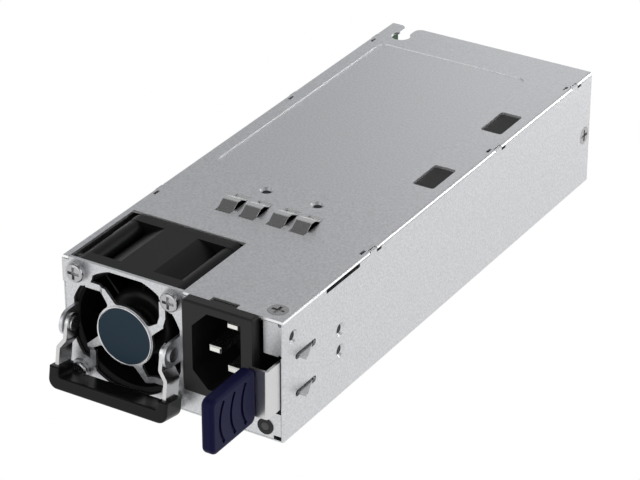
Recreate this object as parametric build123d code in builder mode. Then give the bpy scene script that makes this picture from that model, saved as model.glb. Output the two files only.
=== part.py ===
from build123d import *

import math
import os

# A hot swap power supply for a server, in millimetres.
# X runs across the front, Y from the front to the rear and Z up.
# The origin is the centre of the case's bottom face.

# Case and sheet metal
case_width = 73.5
case_height = 39.0
case_length = 185.0
sheet = 0.8
front_sheet = 1.0
bend_radius = 1.0
cover_edge_radius = 0.7
seam = 0.15
slip = 0.1

# Fan
fan_slack = 1.0
fan_size = case_height - fan_slack
fan_side_gap = 2.65
fan_x = fan_side_gap + fan_size / 2 - case_width / 2
fan_depth = 30.8
fan_gap = 0.3
fan_pitch = fan_size - 6.0
fan_bore_radius = fan_size / 2 - 1.4
fan_barrel_radius = fan_size / 2 + 0.8
fan_flanges = ((0.0, 4.6), (fan_depth - 3.8, 3.8))
fan_corner_radius = 3.0
fan_rear_round = 2.5
fan_column_radius = 2.9
fan_base_thickness = 1.5
strut_count = 4
strut_width = 1.8
strut_depth = 2.4
hub_radius = 10.8
fan_base_radius = hub_radius - 0.2
hub_wall = 1.0
hub_setback = 4.0
hub_length = 21.5
hub_round = 2.4
blade_count = 7
blade_clearance = 0.5
blade_length = 16.0
blade_bulge = 1.3
blade_root_sweep = 6.0
blade_tip_sweep = 12.5
blade_thickness = 1.2
shaft_radius = 1.0
shaft_length = fan_depth - fan_base_thickness - hub_setback - 1.0
running_gap = 0.03
bearing_radius = 2.5
bearing_width = 2.3
bearing_tube_wall = 0.6
magnet_thickness = 1.2
magnet_length = 12.0
air_gap = 0.4
stator_stack = 7.0
pole_neck = 2.0
coil_build = 0.9

vent_place = (5.0, case_height / 2 + 2.0)

# Fan window in the cover and in the bottom
window_gap = 0.3
window_width = fan_size + 2 * window_gap
window_rear = front_sheet + fan_gap + fan_depth + window_gap

# Fan grille
grille_radius = fan_size / 2 + 0.2
grille_half_width = fan_size / 2 - 1.0
grille_half_height = fan_size / 2 - 0.6
grille_pad_radius = 4.8
grille_disc_radius = 9.5
grille_raise = 1.1
strip_inset = 3.8
strip_offset = fan_pitch / 2 - strip_inset
strip_width = 2.0
strip_length = 5.0
jog_start = fan_pitch / 2 - 7.1
jog_end = jog_start - 1.6
spoke_fillet = 1.2
spoke_width = 2.8
spoke_root = 1.4
badge_radius = 9.25
badge_thickness = 0.4
badge_rim_width = 0.45
badge_rim_rise = 0.15

# Screws
pan_head_radius = 3.0
cross_length = 3.9
cross_width = 0.9
pan_head_height = 2.0
washer_radius = 3.4
washer_thickness = 0.6
screw_radius = 1.4
screw_length = 9.0
flat_head_radius = 3.0
thread_gap = 0.06

# Handle
pivot_y = -3.8
pivot_z = case_height / 2 + 0.9
handle_tilt = 10.0
ear_radius = 4.0
ear_inside = grille_half_width - front_sheet
arm_gap = 0.15
arm_thickness = 1.2
arm_width = 6.2
arm_spread = 2.05
arm_jog_top = 4.5
arm_jog_bottom = 7.3
grip_half_width = ear_inside + 3.2
grip_reach = pivot_z - 0.7
grip_bar = 3.9
grip_end_height = 6.7
grip_end_wall = 3.3
grip_depth = 8.0
grip_front = 4.4
grip_corner = 3.0
grip_edge = 0.7
pivot_radius = 1.25
pivot_gap = 0.06
pivot_head_radius = 2.2
pivot_head = 0.5

# Inlet
flange_inside = case_width / 2 - 6.95
bezel_latch_gap = 0.6
bezel_gap = 1.7
bezel_left = fan_x + fan_size / 2 + bezel_gap
bezel_width = flange_inside - bezel_latch_gap - bezel_left
bezel_height = 29.4
bezel_depth = 3.2
bezel_x = bezel_left + bezel_width / 2
bezel_top = case_height - 0.1
bezel_corner = 1.2
inlet_body_width = bezel_width - 2.6
inlet_body_height = 27.0
inlet_body_depth = 20.0
inlet_x = bezel_x - 0.3
inlet_z = bezel_top - bezel_height / 2 + 0.1
socket_width = bezel_width - 7.6
socket_height = 24.1
socket_chamfer = 5.0
socket_corner = 1.0
socket_depth = 16.5
pin_pitch = 14.0
pin_offset = 2.0
pin_width = 4.0
pin_thickness = 2.0
pin_set_back = 2.0
earth_longer = 3.0
pin_terminal = 6.5
terminal_thickness = 0.8
snap_width = 8.6
snap_depth = 1.8
snap_height = 0.8

# Latch
leaf_thickness = 0.8
leaf_gap = 0.2
latch_z = case_height / 2 - 0.75
leaf_height = 15.1
leaf_bottom = latch_z - leaf_height / 2
leaf_top = latch_z + leaf_height / 2
leaf_pivot = 26.2
leaf_reach = 6.7
pad_gap = 0.3
pad_length = 8.0
tongue_length = 15.0
tongue_height = 9.0
tab_right = case_width / 2 - 4.55
tab_left = tab_right - 4.0
tab_reach = 28.3
tab_bottom = latch_z - 9.15
tab_top = latch_z + 8.25
tab_corner = 2.4
tab_edge = 1.2
groove_width = 1.1
groove_depth = 0.5
groove_radius = 10.0
groove_height = 13.0
groove_inset = 3.6
groove_pitch = 5.4
groove_count = 3
tooth_levels = (latch_z - 5.75, latch_z + 6.15)
tooth_front = 7.4
tooth_length = 7.6
tooth_reach = 3.0
tooth_slot_front = 6.2
tooth_slot_length = 10.8
tooth_slot_height = 2.0
latch_rivet_y = 30.0
latch_rivet_levels = (latch_z - 3.65, latch_z + 3.15)
rivet_sink_radius = 2.1
rivet_hole_radius = 1.35
rivet_recess = 0.65
bracket_rivet_y = 5.2
bracket_rivet_z = case_height - 6.9
bracket_drop = 9.4
bracket_width = 6.9
bracket_length = 8.6

# Front opening and lamp
panel_left = case_width / 2 - 6.35
panel_bottom = latch_z + 8.95
plate_right_top = 9.3
foot_notch = 1.2
front_bend = 0.75
relief_radius = 0.55
relief_set_in = 1.1
lamp_x = case_width / 2 - 5.95
lamp_z = 4.2
lamp_radius = 2.5
lens_radius = 1.3

# Cover details
label_left = 4.95 - case_width / 2
label_right = case_width / 2 - 15.15
label_front = 70.8
label_rear = case_length - 15.5
label_depth = 0.3
label_corner = 3.0
finger_lefts = (-14.7, -6.8, 2.6, 10.4)
finger_width = 5.0
finger_front = 44.7
finger_rear = 56.6
finger_sheet = 0.3
finger_side_gap = 0.1
finger_rivets = ((-8.2, 62.6), (9.3, 62.7))
view_window_x = case_width / 2 - 7.25
view_window_width = 7.2
view_window_length = 14.2
view_window_starts = (88.7, 130.6)
cover_screw_x = case_width / 2 - 4.85
cover_screw_y = 5.2
side_screw_y = case_length - 3.5
side_screw_z = 18.0
return_height = 18.0
return_length = 9.0
cover_screw_length = 3.0
side_screw_length = 2.3
hook_starts = (46.6, 121.0, case_length - 13.4)
hook_length = 3.4
hook_top = 0.25
hook_gap = 0.25
hook_slot_ahead = 3.0
hook_slot_length = 2.6
hook_slot_width = 0.9
hook_relief_length = 2.6
hook_relief_depth = 0.9
side_slot_front = 22.6
side_slot_length = 18.0
side_slot_height = 1.3
notch_x = 7.85 - case_width / 2
notch_neck = 3.9
notch_pocket = 6.3
notch_depth = 10.8
notch_lip = 2.4
snap_notch_depth = 2.1

# Boards
board_level = 4.0
board_thickness = 1.6
board_width = case_width - 4.3
board_gap = 3.9
board_front = front_sheet + fan_gap + fan_depth + board_gap
board_set_back = 2.0
edge_inset = 5.0
edge_width = case_width - 2 * edge_inset
contact_count = 25
contact_pitch = edge_width / contact_count
edge_reach = 8.0
contact_width = 1.6
contact_length = 6.0
contact_thickness = 0.05
standoff_radius = 2.5

# Insulating sheet under the cover
film_width = case_width - 3.5
film_thickness = 0.3
film_front = 75.0
film_rear = case_length - 18.0

# Components on the board: places are (x, distance from the front)
wire = 1.1
filter_gap = 2.8
boost_core = (12.5, 6.5, 13.0)
boost_core_place = (5.0, 88.0)
output_core = (8.0, 4.0, 8.0)
output_core_place = (13.5, case_length - 12.4)
x_capacitor_size = (9.0, 18.0, 17.0)
x_capacitor_places = ((10.25 - case_width / 2, 56.0), (case_width / 2 - 29.75, 68.0))
y_capacitor_places = [(case_width / 2 - 16.25, along) for along in (65.0, 72.0)]
relay_size = (12.0, 18.0, 16.0)
relay_place = (case_width / 2 - 22.75, 50.0)
filter_left = x_capacitor_places[0][0] + x_capacitor_size[0] / 2 + filter_gap
filter_right = relay_place[0] - relay_size[0] / 2 - filter_gap
filter_outside = (filter_right - filter_left) / 2 - wire - slip
filter_core = (filter_outside, filter_outside / 2, 9.0)
filter_core_place = ((filter_left + filter_right) / 2, 52.0)
fuse_radius = 2.6
fuse_length = 20.0
fuse_place = (case_width / 2 - 7.75, 58.0)
rectifier_size = (4.5, 20.0, 20.0)
rectifier_place = (13.25 - case_width / 2, 80.0)
sink_plate = 2.0
sink_height = case_height - 12.0
fin_reach = 5.0
fin_pitch = 5.0
fin_thickness = 0.9
bulk_clearance = 1.5
bulk_x = 20.25 - case_width / 2
bulk_start = 107.0
output_sink_y = case_length - 27.0
bulk_length = output_sink_y - bulk_start - 7.0
transformer_y = (output_sink_y + boost_core_place[1] + 12.0) / 2
transformer_height = case_height - 14.0
transistor_size = (4.2, 10.0, 15.0)
transistor_pitch = 13.0
transistor_sink_x = case_width / 2 - 6.75
transformer_depth = 14.0
output_sink_width = 50.0
output_chip_size = (9.0, 2.4, 12.0)
output_capacitor_radius = 4.0
output_capacitor_height = 13.0
output_capacitor_place = (-10.0, case_length - 13.0)
card_x = 2.55 - case_width / 2
card_thickness = 1.2
card_end = case_length - 2.4
card_start = card_end - 31.6
card_top = case_height - 1.4
chip_size = 7.0
chip_levels = (14.0, 26.0)
lead_radius = 0.9
fan_lead_radius = 0.6

# Derived places
front = -case_length / 2
rear = case_length / 2
wall_outside = case_width / 2
wall_inside = wall_outside - sheet
cover_under = case_height - sheet
wall_top = cover_under - seam
fan_z = case_height / 2
fan_front = front + front_sheet + fan_gap
bottom_front = front_sheet + slip
fan_rear = fan_front + fan_depth
board_top = board_level + board_thickness
bezel_z = bezel_top - bezel_height / 2
leaf_outside = wall_inside - leaf_gap
leaf_inside = leaf_outside - leaf_thickness
leaf_y = front + leaf_pivot
bulk_radius = (cover_under - board_top) / 2 - bulk_clearance
transformer_left = bulk_x + bulk_radius + 0.3
transformer_right = transistor_sink_x - transistor_size[0] - 1.3
transformer_width = transformer_right - transformer_left
transformer_place = ((transformer_left + transformer_right) / 2, transformer_y)
core_leg = 0.35 * transformer_width
core_window = 0.21 * transformer_width
winding_build = core_window - 0.3
transistor_starts = [transformer_y - 14.0 + n * transistor_pitch for n in range(3)]
standoff_rows = (
    (board_width / 2 - 4.1, board_front + 5.0),
    (board_width / 2 - 4.1, transistor_starts[0] - 7.0),
    (board_width / 2 - 7.6, case_length - 9.0),
)
plate_edge = wall_inside - slip
plate_bottom = sheet + slip

fan_plane = Plane(origin=(fan_x, fan_front, fan_z), x_dir=(1, 0, 0), z_dir=(0, 1, 0))


def facing_front(y):
    """A plane at depth y that looks out of the front, with X across and Z up."""
    return Plane.XZ.offset(-y)


def facing_side(x):
    """A plane at x that looks to the right, with Y across and Z up."""
    return Plane.YZ.offset(x)


def level(z):
    """A horizontal plane at height z."""
    return Plane.XY.offset(z)


def handle_side(x):
    """A plane at x through the handle's pivot, turned with the handle: back across, arm up."""
    lean = math.radians(handle_tilt)
    across = (0, math.cos(lean), -math.sin(lean))
    return Plane(origin=(x, front + pivot_y, pivot_z), x_dir=across, z_dir=(1, 0, 0))


def handle_face():
    """The plane of the folded bail, which looks forward, with its Y up along the arms."""
    lean = math.radians(handle_tilt)
    ahead = (0, -math.cos(lean), math.sin(lean))
    return Plane(origin=(fan_x, front + pivot_y, pivot_z), x_dir=(1, 0, 0), z_dir=ahead)


def pan_screw(length, washer):
    """A cross-head screw with its seat at the origin, its head up and its shank down."""
    seat = washer_thickness if washer else 0.0
    with BuildPart() as screw:
        with BuildSketch(Plane.XY):
            Circle(screw_radius)
        extrude(amount=-length)
        if washer:
            with BuildSketch(Plane.XY):
                Circle(washer_radius)
            extrude(amount=washer_thickness)
        with BuildSketch(level(seat)):
            Circle(pan_head_radius)
        extrude(amount=pan_head_height)
        head_edge = screw.edges().group_by(Axis.Z)[-1]
        if washer:
            fillet(head_edge, pan_head_height * 0.4)
        else:
            chamfer(head_edge, pan_head_height * 0.3)
        with BuildSketch(level(seat + pan_head_height)):
            Rectangle(cross_length, cross_width)
            Rectangle(cross_width, cross_length)
        extrude(amount=-pan_head_height / 2, mode=Mode.SUBTRACT)
    return screw.part


def flat_screw(length):
    """A flush cross-head screw: its head's face is at the origin and its shank goes down."""
    face_radius = flat_head_radius - slip
    with BuildPart() as screw:
        with BuildSketch(Plane.XZ):
            with BuildLine():
                Polyline(
                    (0, 0),
                    (face_radius, 0),
                    (face_radius - sheet, -sheet),
                    (screw_radius, -sheet),
                    (screw_radius, -length),
                    (0, -length),
                    close=True,
                )
            make_face()
        revolve(axis=Axis.Z)
        with BuildSketch(Plane.XY):
            Rectangle(cross_length, cross_width)
            Rectangle(cross_width, cross_length)
        extrude(amount=-sheet * 0.8, mode=Mode.SUBTRACT)
    return screw.part


def rivet(grip_length):
    """A countersunk rivet whose place is the outer face of the sheet that it goes through."""
    foot = sheet + grip_length
    with BuildPart() as body:
        with BuildSketch(Plane.XZ):
            with BuildLine():
                Polyline(
                    (0, -rivet_recess),
                    (rivet_hole_radius - thread_gap, -rivet_recess),
                    (rivet_hole_radius - thread_gap, -foot),
                    (rivet_sink_radius, -foot),
                    (rivet_sink_radius, -foot - 0.5),
                    (0, -foot - 0.5),
                    close=True,
                )
            make_face()
        revolve(axis=Axis.Z)
    return body.part


def outward(x, y, z, side):
    """A place on a side wall whose axis points out of the case; side is 1 or -1."""
    return Plane(origin=(x, y, z), x_dir=(0, 1, 0), z_dir=(side, 0, 0))


def forward(x, y, z):
    """A place whose axis points out of the front."""
    return Plane(origin=(x, y, z), x_dir=(1, 0, 0), z_dir=(0, -1, 0))


fan_corners = [
    (fan_x + i * fan_pitch / 2, fan_z + k * fan_pitch / 2) for i in (-1, 1) for k in (-1, 1)
]
bracket_rivet_places = [
    outward(side * wall_outside, front + bracket_rivet_y, bracket_rivet_z, side) for side in (-1, 1)
]
side_screw_at = front + side_screw_y
os.makedirs("parts", exist_ok=True)

# The base chassis: a folded tray with both side walls and a short front return on the right
with BuildPart() as base_chassis:
    with BuildSketch(facing_front(front)):
        Rectangle(case_width, wall_top, align=(Align.CENTER, Align.MIN))
        fillet(vertices().group_by(Axis.Y)[0], bend_radius)
        with Locations((0, sheet)):
            Rectangle(
                case_width - 2 * sheet,
                case_height,
                align=(Align.CENTER, Align.MIN),
                mode=Mode.SUBTRACT,
            )
    extrude(amount=-case_length)
    with BuildSketch(facing_front(front)):
        with Locations((wall_outside, wall_top)):
            Rectangle(
                wall_outside - panel_left,
                wall_top - panel_bottom,
                align=(Align.MAX, Align.MAX),
            )
    extrude(amount=-sheet)
    # Window for the fan in the bottom
    with BuildSketch(level(0)):
        with Locations((fan_x, front + bottom_front)):
            Rectangle(
                window_width,
                window_rear - bottom_front,
                align=(Align.CENTER, Align.MIN),
            )
    extrude(amount=sheet, mode=Mode.SUBTRACT)
    # Slots for the latch teeth in the right wall
    with BuildSketch(facing_side(wall_inside)):
        for z in tooth_levels:
            with Locations((front + tooth_slot_front + tooth_slot_length / 2, z)):
                SlotOverall(tooth_slot_length, tooth_slot_height)
    extrude(amount=sheet, mode=Mode.SUBTRACT)
    # Ahead of the long slot the walls meet the cover
    with BuildSketch(level(wall_top)):
        for side in (-1, 1):
            with Locations((side * (wall_outside - sheet / 2), front)):
                Rectangle(sheet, side_slot_front, align=(Align.CENTER, Align.MIN))
    extrude(amount=seam)
    # Hooks that stand up through the cover's edge
    with BuildSketch(level(wall_top)):
        for side in (-1, 1):
            for start in hook_starts:
                with Locations((side * (wall_outside - sheet / 2), front + start)):
                    Rectangle(sheet, hook_length, align=(Align.CENTER, Align.MIN))
    extrude(amount=seam + sheet - hook_top)
    # Long slot along the top of both walls, and a relief behind each hook
    with BuildSketch(facing_side(-wall_outside)):
        with Locations((front + side_slot_front, cover_under)):
            Rectangle(side_slot_length, side_slot_height, align=(Align.MIN, Align.MAX))
        for start in hook_starts:
            with Locations((front + start + hook_length, cover_under)):
                Rectangle(hook_relief_length, hook_relief_depth, align=(Align.MIN, Align.MAX))
    extrude(amount=case_width, mode=Mode.SUBTRACT)
    # The front plate's wider corner sits in a notch of the left wall
    with BuildSketch(facing_side(-wall_outside)):
        with Locations((front, wall_top)):
            Rectangle(front_sheet + slip, wall_top * 0.2, align=(Align.MIN, Align.MAX))
    extrude(amount=sheet, mode=Mode.SUBTRACT)
    # The front bends and their relief holes
    corner_edges = base_chassis.edges().filter_by(Axis.Z).group_by(Axis.Y)[0]
    fillet(corner_edges.group_by(Axis.X)[-1], front_bend)
    with BuildSketch(facing_front(front)):
        for z in (cover_under - relief_radius, panel_bottom):
            with Locations((wall_outside - relief_set_in, z)):
                Circle(relief_radius)
    extrude(amount=-front_sheet, mode=Mode.SUBTRACT)
    # Countersunk rivet holes
    with Locations(*bracket_rivet_places):
        CounterSinkHole(rivet_hole_radius, rivet_sink_radius, depth=2 * sheet)
    with Locations(*[outward(wall_outside, front + latch_rivet_y, z, 1) for z in latch_rivet_levels]):
        CounterSinkHole(rivet_hole_radius, rivet_sink_radius, depth=2 * sheet)
    # Countersunk screw holes at the rear
    with Locations(*[outward(s * wall_outside, side_screw_at, side_screw_z, s) for s in (-1, 1)]):
        CounterSinkHole(
            screw_radius + slip, flat_head_radius, depth=2 * sheet, counter_sink_angle=90
        )
base_chassis.part.label = "base_chassis"
export_step(base_chassis.part, "parts/base_chassis.step")

# The top cover
with BuildPart() as top_cover:
    with BuildSketch(facing_front(front)):
        with Locations((0, cover_under)):
            Rectangle(case_width, sheet, align=(Align.CENTER, Align.MIN))
        fillet(vertices().group_by(Axis.Y)[-1], cover_edge_radius)
    extrude(amount=-case_length)
    with BuildSketch(level(cover_under)):
        # Fan window, open at the front, where the front plate closes it
        with Locations((fan_x, front)):
            Rectangle(window_width, window_rear, align=(Align.CENTER, Align.MIN))
        # Openings for the ground springs
        for x in finger_lefts:
            with Locations((x, front + finger_front)):
                Rectangle(
                    finger_width + 2 * finger_side_gap,
                    finger_rear - finger_front,
                    align=(Align.MIN, Align.MIN),
                )
        # Two windows over the insulating sheet
        for y in view_window_starts:
            with Locations((view_window_x, front + y + view_window_length / 2)):
                RectangleRounded(view_window_width, view_window_length, 0.9)
        # Notches for the walls' hooks, and the slots ahead of them
        for side in (-1, 1):
            for start in hook_starts:
                with Locations((side * wall_outside, front + start - hook_gap)):
                    Rectangle(
                        2 * (sheet + hook_gap),
                        hook_length + 2 * hook_gap,
                        align=(Align.CENTER, Align.MIN),
                    )
                slot_x = side * (wall_outside - sheet - hook_slot_width)
                with Locations((slot_x, front + start - hook_slot_ahead)):
                    Rectangle(hook_slot_width, hook_slot_length, align=(Align.CENTER, Align.MIN))
        # Notch for the inlet's snap
        with Locations((bezel_x, front)):
            Rectangle(snap_width + 2 * slip, snap_notch_depth, align=(Align.CENTER, Align.MIN))
    extrude(amount=sheet, mode=Mode.SUBTRACT)
    # Keyhole notch in the rear edge
    with BuildSketch(level(cover_under)):
        with Locations((notch_x, rear)):
            Rectangle(notch_neck, notch_depth - notch_pocket / 2, align=(Align.CENTER, Align.MAX))
        with Locations((notch_x, rear - notch_depth + notch_pocket / 2)):
            Circle(notch_pocket / 2)
        with BuildLine():
            mouth_half = notch_neck / 2 + notch_lip
            mouth = Line((notch_x - mouth_half, rear), (notch_x + mouth_half, rear))
            right_end = (notch_x + notch_neck / 2, rear - notch_lip)
            right_lip = RadiusArc(mouth @ 1, right_end, -notch_lip)
            throat = Line(right_lip @ 1, (notch_x - notch_neck / 2, rear - notch_lip))
            RadiusArc(throat @ 1, mouth @ 0, -notch_lip)
        make_face()
    extrude(amount=sheet, mode=Mode.SUBTRACT)
    # Shallow recess for a label, left bare
    with BuildSketch(level(case_height)):
        with Locations(((label_left + label_right) / 2, front + (label_front + label_rear) / 2)):
            RectangleRounded(label_right - label_left, label_rear - label_front, label_corner)
    extrude(amount=-label_depth, mode=Mode.SUBTRACT)
    with Locations(*[(x, front + y, case_height) for x, y in finger_rivets]):
        CounterSinkHole(rivet_hole_radius, rivet_sink_radius, depth=2 * sheet)
    with Locations((cover_screw_x, front + cover_screw_y, case_height)):
        CounterSinkHole(
            screw_radius + slip, flat_head_radius, depth=2 * sheet, counter_sink_angle=90
        )
top_cover.part.label = "top_cover"
export_step(top_cover.part, "parts/top_cover.step")



def turned(points, quarters):
    """Points of a plane turned about its origin by a number of quarter turns."""
    for _ in range(quarters):
        points = [(-across, along) for along, across in points]
    return points


# The front plate with the fan grille and the handle's ears
spoke_outline = [
    (strip_offset - strip_width / 2, jog_end),
    (grille_disc_radius * 0.56, spoke_root + spoke_width * 0.78),
    (grille_disc_radius * 0.8, spoke_root),
    (strip_offset + strip_width / 2, jog_end - 0.8),
    (strip_offset + strip_width / 2, jog_end),
]
with BuildPart() as front_grille:
    with BuildSketch(facing_front(front)):
        left_corner = -wall_outside
        inlet_left = bezel_x - inlet_body_width / 2 - slip
        inlet_low = bezel_z - inlet_body_height / 2 - slip
        inlet_right = bezel_x + inlet_body_width / 2 + slip
        with BuildLine():
            Polyline(
                (-plate_edge, plate_bottom),
                (plate_edge - 2 * foot_notch, plate_bottom),
                (plate_edge - 2 * foot_notch, plate_bottom + foot_notch),
                (plate_edge, plate_bottom + foot_notch),
                (plate_edge, plate_right_top),
                (inlet_right, plate_right_top),
                (inlet_right, inlet_low),
                (inlet_left, inlet_low),
                (inlet_left, wall_top - slip),
                (fan_x + window_width / 2 - slip, wall_top - slip),
                (fan_x + window_width / 2 - slip, case_height),
                (fan_x - window_width / 2 + slip, case_height),
                (fan_x - window_width / 2 + slip, wall_top - slip),
                (left_corner, wall_top - slip),
                (left_corner, wall_top * 0.8 + slip),
                (-plate_edge, wall_top * 0.8 + slip),
                close=True,
            )
        make_face()
        with Locations(*fan_corners):
            Circle(screw_radius + 0.3, mode=Mode.SUBTRACT)
        with Locations((lamp_x, lamp_z)):
            Circle(lamp_radius, mode=Mode.SUBTRACT)
    extrude(amount=-front_sheet)
    # The grille's opening leaves a pad round each fan screw and a strip beside each pad
    with BuildSketch(facing_front(front)):
        with Locations((fan_x, fan_z)):
            Circle(grille_radius)
            Rectangle(2 * grille_half_width, 2 * grille_half_height, mode=Mode.INTERSECT)
            with PolarLocations(0, 4):
                with Locations((strip_offset, jog_start + strip_length / 2)):
                    Rectangle(strip_width, strip_length, mode=Mode.SUBTRACT)
        with Locations(*fan_corners):
            Circle(grille_pad_radius, mode=Mode.SUBTRACT)
    extrude(amount=-front_sheet, mode=Mode.SUBTRACT)
    # The raised disc with its four turned spokes
    with BuildSketch(forward(fan_x, front - grille_raise, fan_z)):
        Circle(grille_disc_radius)
        for quarter in range(4):
            Polygon(*turned(spoke_outline, quarter), align=None)
    extrude(amount=-front_sheet)
    roots = front_grille.edges().filter_by(Axis.Y).filter_by(
        lambda e: abs(math.hypot(e.center().X - fan_x, e.center().Z - fan_z) - grille_disc_radius) < 0.01
    )
    fillet(roots, spoke_fillet)
    # The jogs between the strips and the raised spokes
    for quarter in range(4):
        turn = math.radians(90 * quarter)
        inward = (-math.cos(turn), 0, -math.sin(turn))
        jog_plane = Plane(origin=(fan_x, front, fan_z), x_dir=(0, -1, 0), z_dir=inward)
        with BuildSketch(jog_plane.offset(-strip_offset - strip_width / 2)):
            with BuildLine():
                Polyline(
                    (0, jog_start + 0.6),
                    (0, jog_start),
                    (grille_raise, jog_end),
                    (grille_raise, jog_end - 0.6),
                    (grille_raise - front_sheet, jog_end - 0.6),
                    (grille_raise - front_sheet, jog_end + 0.3),
                    (-front_sheet, jog_start + 0.3),
                    (-front_sheet, jog_start + 0.6),
                    close=True,
                )
            make_face()
        extrude(amount=strip_width)
    # The ears of the handle
    for side in (-1, 1):
        with BuildSketch(facing_side(fan_x + side * ear_inside)):
            with Locations((front + pivot_y, pivot_z)):
                Circle(ear_radius)
                Rectangle(
                    front_sheet - pivot_y,
                    2 * ear_radius,
                    align=(Align.MIN, Align.CENTER),
                )
                Circle(pivot_radius, mode=Mode.SUBTRACT)
        extrude(amount=side * front_sheet)
    # A return along the left wall
    with BuildSketch(level(4.0)):
        with Locations((-plate_edge, front)):
            Rectangle(front_sheet, 9.0, align=(Align.MIN, Align.MIN))
    extrude(amount=case_height - 8.0)
    with Locations(outward(-plate_edge, front + bracket_rivet_y, bracket_rivet_z, -1)):
        Hole(rivet_hole_radius, depth=2 * front_sheet)
front_grille.part.label = "front_grille"
export_step(front_grille.part, "parts/front_grille.step")

# The plain disc on the grille, with its rim
with BuildPart() as badge_disc:
    with BuildSketch(facing_front(front - grille_raise)):
        with Locations((fan_x, fan_z)):
            Circle(badge_radius - badge_rim_width - slip)
    extrude(amount=badge_thickness)
badge_disc.part.label = "badge_disc"
export_step(badge_disc.part, "parts/badge_disc.step")

with BuildPart() as badge_rim:
    with BuildSketch(facing_front(front - grille_raise)):
        with Locations((fan_x, fan_z)):
            Circle(badge_radius)
            Circle(badge_radius - badge_rim_width, mode=Mode.SUBTRACT)
    extrude(amount=badge_thickness + badge_rim_rise)
    chamfer(badge_rim.edges().group_by(Axis.Y)[0], 0.12)
badge_rim.part.label = "badge_rim"
export_step(badge_rim.part, "parts/badge_rim.step")

# The bracket in the front right corner takes the cover's screw
with BuildPart() as corner_bracket:
    with BuildSketch(facing_front(front + sheet + slip)):
        with Locations((wall_inside, cover_under)):
            Rectangle(front_sheet, bracket_drop, align=(Align.MAX, Align.MAX))
            Rectangle(bracket_width, front_sheet, align=(Align.MAX, Align.MAX))
    extrude(amount=-bracket_length)
    with Locations((cover_screw_x, front + cover_screw_y, cover_under)):
        Hole(screw_radius + thread_gap, depth=2 * front_sheet)
    with Locations(outward(wall_inside, front + bracket_rivet_y, bracket_rivet_z, 1)):
        Hole(rivet_hole_radius, depth=2 * front_sheet)
corner_bracket.part.label = "corner_bracket"
export_step(corner_bracket.part, "parts/corner_bracket.step")

with BuildPart() as bracket_rivets:
    with Locations(*bracket_rivet_places):
        add(rivet(front_sheet + slip))
bracket_rivets.part.label = "bracket_rivets"
export_step(bracket_rivets.part, "parts/bracket_rivets.step")

# The rear panel with the card slot, the vents and its side returns
rear_face = rear - front_sheet
with BuildPart() as rear_panel:
    with BuildSketch(facing_front(rear_face)):
        with BuildLine():
            Polyline(
                (-plate_edge, plate_bottom),
                (plate_edge, plate_bottom),
                (plate_edge, wall_top - slip),
                (notch_x + notch_pocket / 2 + 1, wall_top - slip),
                (notch_x + notch_pocket / 2 + 1, case_height - 10.0),
                (-plate_edge, case_height - 10.0),
                close=True,
            )
        make_face()
        with Locations((0, board_level + board_thickness / 2)):
            Rectangle(edge_width + 1.2, board_thickness + 1.6, mode=Mode.SUBTRACT)
        with Locations(vent_place):
            with HexLocations(2.3, 12, 5):
                RegularPolygon(1.8, 6, mode=Mode.SUBTRACT)
    extrude(amount=-front_sheet)
    for side in (-1, 1):
        with BuildSketch(level(side_screw_z - return_height / 2)):
            with Locations((side * plate_edge, rear_face)):
                Rectangle(
                    front_sheet,
                    return_length,
                    align=(Align.MAX if side > 0 else Align.MIN, Align.MAX),
                )
        extrude(amount=return_height)
    with Locations(*[outward(s * plate_edge, side_screw_at, side_screw_z, s) for s in (-1, 1)]):
        Hole(screw_radius + thread_gap, depth=2 * front_sheet)
rear_panel.part.label = "rear_panel"
export_step(rear_panel.part, "parts/rear_panel.step")

# The black insulating sheet under the cover
with BuildPart() as insulating_sheet:
    with BuildSketch(level(cover_under)):
        with Locations((0, front + (film_front + film_rear) / 2)):
            RectangleRounded(film_width, film_rear - film_front, 2.0)
    extrude(amount=-film_thickness)
insulating_sheet.part.label = "insulating_sheet"
export_step(insulating_sheet.part, "parts/insulating_sheet.step")

# The ground springs: one strip under the cover with four arched fingers
strip_top = cover_under - 0.02
strip_mid = strip_top - finger_sheet / 2
with BuildPart() as ground_fingers:
    with BuildSketch(level(strip_top)):
        with Locations((finger_lefts[0] - 1.0, front + finger_rear + 0.3)):
            Rectangle(
                finger_lefts[-1] - finger_lefts[0] + finger_width + 2.0,
                10.0,
                align=(Align.MIN, Align.MIN),
            )
        with Locations(*[(x, front + y) for x, y in finger_rivets]):
            Circle(rivet_hole_radius, mode=Mode.SUBTRACT)
    extrude(amount=-finger_sheet)
    for x in finger_lefts:
        with BuildSketch(facing_side(x + finger_side_gap)):
            with BuildLine():
                FilletPolyline(
                    (front + finger_rear + 1.0, strip_mid),
                    (front + finger_rear - 0.3, strip_mid),
                    (front + 51.4, case_height + 1.6),
                    (front + 49.3, case_height + 1.7),
                    (front + finger_front + 0.5, cover_under - 0.3),
                    radius=0.5,
                )
            trace(line_width=finger_sheet)
        extrude(amount=finger_width)
ground_fingers.part.label = "ground_fingers"
export_step(ground_fingers.part, "parts/ground_fingers.step")

with BuildPart() as finger_rivet_pair:
    with Locations(*[(x, front + y, case_height) for x, y in finger_rivets]):
        add(rivet(finger_sheet + slip))
finger_rivet_pair.part.label = "finger_rivets"
export_step(finger_rivet_pair.part, "parts/finger_rivets.step")

# The flush screws of the cover and of both side walls
with BuildPart() as cover_screws:
    with Locations((cover_screw_x, front + cover_screw_y, case_height)):
        add(flat_screw(cover_screw_length))
    with Locations(*[outward(s * wall_outside, side_screw_at, side_screw_z, s) for s in (-1, 1)]):
        add(flat_screw(side_screw_length))
cover_screws.part.label = "cover_screws"
export_step(cover_screws.part, "parts/cover_screws.step")

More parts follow.
